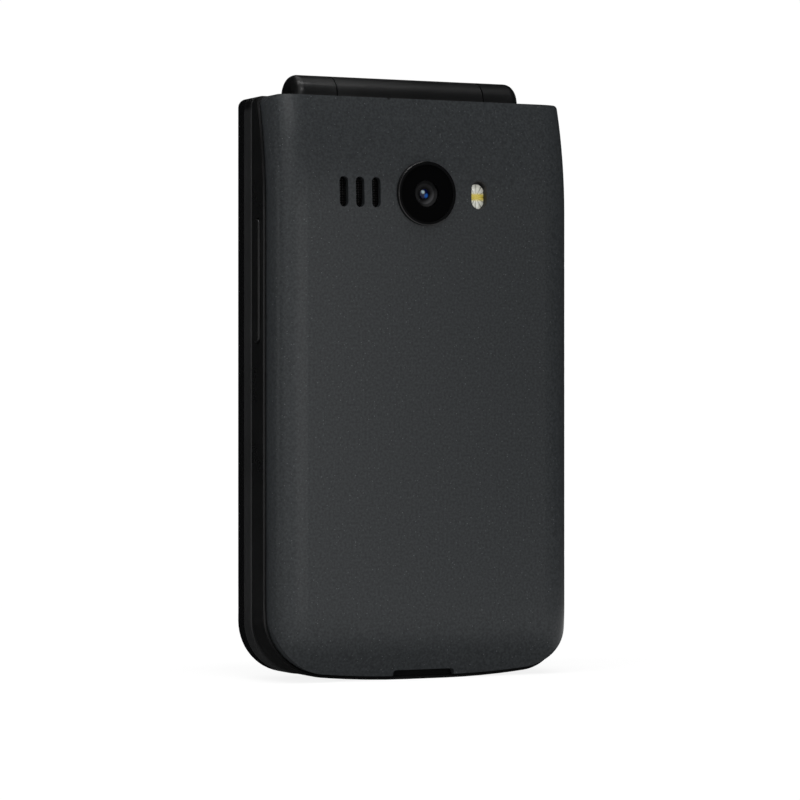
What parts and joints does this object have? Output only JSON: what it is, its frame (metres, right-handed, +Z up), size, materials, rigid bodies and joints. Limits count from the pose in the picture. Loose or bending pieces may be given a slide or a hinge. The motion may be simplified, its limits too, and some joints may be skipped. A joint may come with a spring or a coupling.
{
  "type": "flip phone",
  "caption": "Clamshell mobile phone with a keypad, a hinged lid with inner and outer displays, a removable battery cover, a camera and a flash.",
  "frame": {"origin": "middle of the closed phone's footprint, at the level of the bottom end it stands on", "axes": "+Z up along the phone to the hinge, +Y out of the battery cover, +X towards the volume key's side"},
  "size_m": [0.0624, 0.0187, 0.1115],
  "materials": {
    "cover_paint": "charcoal grey matte paint with a fine metallic sparkle",
    "gloss_black": "polished black",
    "satin_black": "satin black",
    "satin_grey": "satin dark grey",
    "dark_glass": "polished, smoked",
    "lens_glass": "coated lens",
    "flash_plastic": "clear, with facets",
    "lamp_yellow": "phosphor",
    "dark_mesh": "fine woven mesh",
    "board_green": "solder mask",
    "spring_steel": "bright",
    "can_steel": "tinned sheet",
    "screw_steel": "dark nickel",
    "gold_contact": "gold plated",
    "carrier_plastic": "moulded, fine grain",
    "battery_wrap": "film wrap",
    "key_plastic": "satin, with light numbers",
    "key_metal": "satin grey metallic",
    "key_rubber": "soft",
    "display_panel": "dark, switched off"
  },
  "bodies": {
    "base": {"base_front_case": "satin_black", "base_rear_frame": "satin_black", "main_board": "board_green", "key_domes": "spring_steel", "shield_cans": "can_steel", "antenna_carrier": "carrier_plastic", "battery": "battery_wrap", "battery_contacts": "gold_contact", "camera_module": "gloss_black", "camera_lens": "lens_glass", "flash_lamp": "lamp_yellow", "loudspeaker": "carrier_plastic", "usb_socket": "can_steel", "headphone_jack": "carrier_plastic", "vibration_motor": "can_steel", "card_readers": "can_steel", "microphone": "gold_contact", "volume_switches": "spring_steel", "case_screws": "screw_steel", "hinge_pin": "screw_steel", "hinge_drive_shaft": "screw_steel"},
    "cover": {"battery_cover": "cover_paint", "camera_ring": "gloss_black", "camera_window": "dark_glass", "flash_lens": "flash_plastic", "speaker_mesh": "dark_mesh"},
    "lid": {"lid_outer_shell": "gloss_black", "lid_inner_shell": "satin_grey", "outer_window": "dark_glass", "outer_display": "display_panel", "main_window": "dark_glass", "main_display": "display_panel", "lid_chassis": "can_steel", "lid_board": "board_green", "earpiece": "carrier_plastic", "lid_bumpers": "key_rubber", "lid_screws": "screw_steel", "hinge_module": "screw_steel"},
    "volume_key": {"volume_key": "satin_black"},
    "nav_rocker": {"nav_rocker": "key_rubber"},
    "nav_ring": {"nav_ring": "key_metal"},
    "key_1": {"key_1": "key_plastic"},
    "key_2": {"key_2": "key_plastic"},
    "key_3": {"key_3": "key_plastic"},
    "key_4": {"key_4": "key_plastic"},
    "key_5": {"key_5": "key_plastic"},
    "key_6": {"key_6": "key_plastic"},
    "key_7": {"key_7": "key_plastic"},
    "key_8": {"key_8": "key_plastic"},
    "key_9": {"key_9": "key_plastic"},
    "key_0": {"key_0": "key_plastic"},
    "key_star": {"key_star": "key_plastic"},
    "key_hash": {"key_hash": "key_plastic"},
    "call_key": {"call_key": "key_plastic"},
    "clear_key": {"clear_key": "key_plastic"},
    "end_key": {"end_key": "key_plastic"},
    "soft_key_left": {"soft_key_left": "key_plastic"},
    "soft_key_right": {"soft_key_right": "key_plastic"},
    "ok_key": {"ok_key": "key_metal"}
  },
  "joints": [
    {"name": "battery_cover_release", "type": "slide", "parent": "base", "child": "cover", "axis": [0, 1, 0], "range_m": [0, 0.014]},
    {"name": "flip_hinge", "type": "hinge", "parent": "base", "child": "lid", "pos_m": [0, -0.0025, 0.10745], "axis": [-1, 0, 0], "range_deg": [0, 158]},
    {"name": "key_1_press", "type": "slide", "parent": "base", "child": "key_1", "axis": [0, 1, 0], "range_m": [0, 0.00035], "stiffness_N_per_m": 4500},
    {"name": "key_2_press", "type": "slide", "parent": "base", "child": "key_2", "axis": [0, 1, 0], "range_m": [0, 0.00035], "stiffness_N_per_m": 4500},
    {"name": "key_3_press", "type": "slide", "parent": "base", "child": "key_3", "axis": [0, 1, 0], "range_m": [0, 0.00035], "stiffness_N_per_m": 4500},
    {"name": "key_4_press", "type": "slide", "parent": "base", "child": "key_4", "axis": [0, 1, 0], "range_m": [0, 0.00035], "stiffness_N_per_m": 4500},
    {"name": "key_5_press", "type": "slide", "parent": "base", "child": "key_5", "axis": [0, 1, 0], "range_m": [0, 0.00035], "stiffness_N_per_m": 4500},
    {"name": "key_6_press", "type": "slide", "parent": "base", "child": "key_6", "axis": [0, 1, 0], "range_m": [0, 0.00035], "stiffness_N_per_m": 4500},
    {"name": "key_7_press", "type": "slide", "parent": "base", "child": "key_7", "axis": [0, 1, 0], "range_m": [0, 0.00035], "stiffness_N_per_m": 4500},
    {"name": "key_8_press", "type": "slide", "parent": "base", "child": "key_8", "axis": [0, 1, 0], "range_m": [0, 0.00035], "stiffness_N_per_m": 4500},
    {"name": "key_9_press", "type": "slide", "parent": "base", "child": "key_9", "axis": [0, 1, 0], "range_m": [0, 0.00035], "stiffness_N_per_m": 4500},
    {"name": "key_0_press", "type": "slide", "parent": "base", "child": "key_0", "axis": [0, 1, 0], "range_m": [0, 0.00035], "stiffness_N_per_m": 4500},
    {"name": "key_star_press", "type": "slide", "parent": "base", "child": "key_star", "axis": [0, 1, 0], "range_m": [0, 0.00035], "stiffness_N_per_m": 4500},
    {"name": "key_hash_press", "type": "slide", "parent": "base", "child": "key_hash", "axis": [0, 1, 0], "range_m": [0, 0.00035], "stiffness_N_per_m": 4500},
    {"name": "key_call_press", "type": "slide", "parent": "base", "child": "call_key", "axis": [0, 1, 0], "range_m": [0, 0.00035], "stiffness_N_per_m": 4500},
    {"name": "key_clear_press", "type": "slide", "parent": "base", "child": "clear_key", "axis": [0, 1, 0], "range_m": [0, 0.00035], "stiffness_N_per_m": 4500},
    {"name": "key_end_press", "type": "slide", "parent": "base", "child": "end_key", "axis": [0, 1, 0], "range_m": [0, 0.00035], "stiffness_N_per_m": 4500},
    {"name": "key_soft_left_press", "type": "slide", "parent": "base", "child": "soft_key_left", "axis": [0, 1, 0], "range_m": [0, 0.00035], "stiffness_N_per_m": 4500},
    {"name": "key_soft_right_press", "type": "slide", "parent": "base", "child": "soft_key_right", "axis": [0, 1, 0], "range_m": [0, 0.00035], "stiffness_N_per_m": 4500},
    {"name": "key_ok_press", "type": "slide", "parent": "base", "child": "ok_key", "axis": [0, 1, 0], "range_m": [0, 0.00035], "stiffness_N_per_m": 4500},
    {"name": "nav_tilt_side", "type": "hinge", "parent": "base", "child": "nav_rocker", "pos_m": [0, 0.0002, 0.079], "axis": [0, 0, 1], "range_deg": [-1.1, 1.1], "stiffness_Nm_per_rad": 0.6},
    {"name": "nav_tilt_up", "type": "hinge", "parent": "nav_rocker", "child": "nav_ring", "pos_m": [0, 0.0002, 0.079], "axis": [1, 0, 0], "range_deg": [-1.3, 1.3], "stiffness_Nm_per_rad": 0.6},
    {"name": "volume_rock", "type": "hinge", "parent": "base", "child": "volume_key", "pos_m": [0.0281, 0.0013, 0.07325], "axis": [0, 1, 0], "range_deg": [-1.5, 1.5], "stiffness_Nm_per_rad": 0.5}
  ]
}
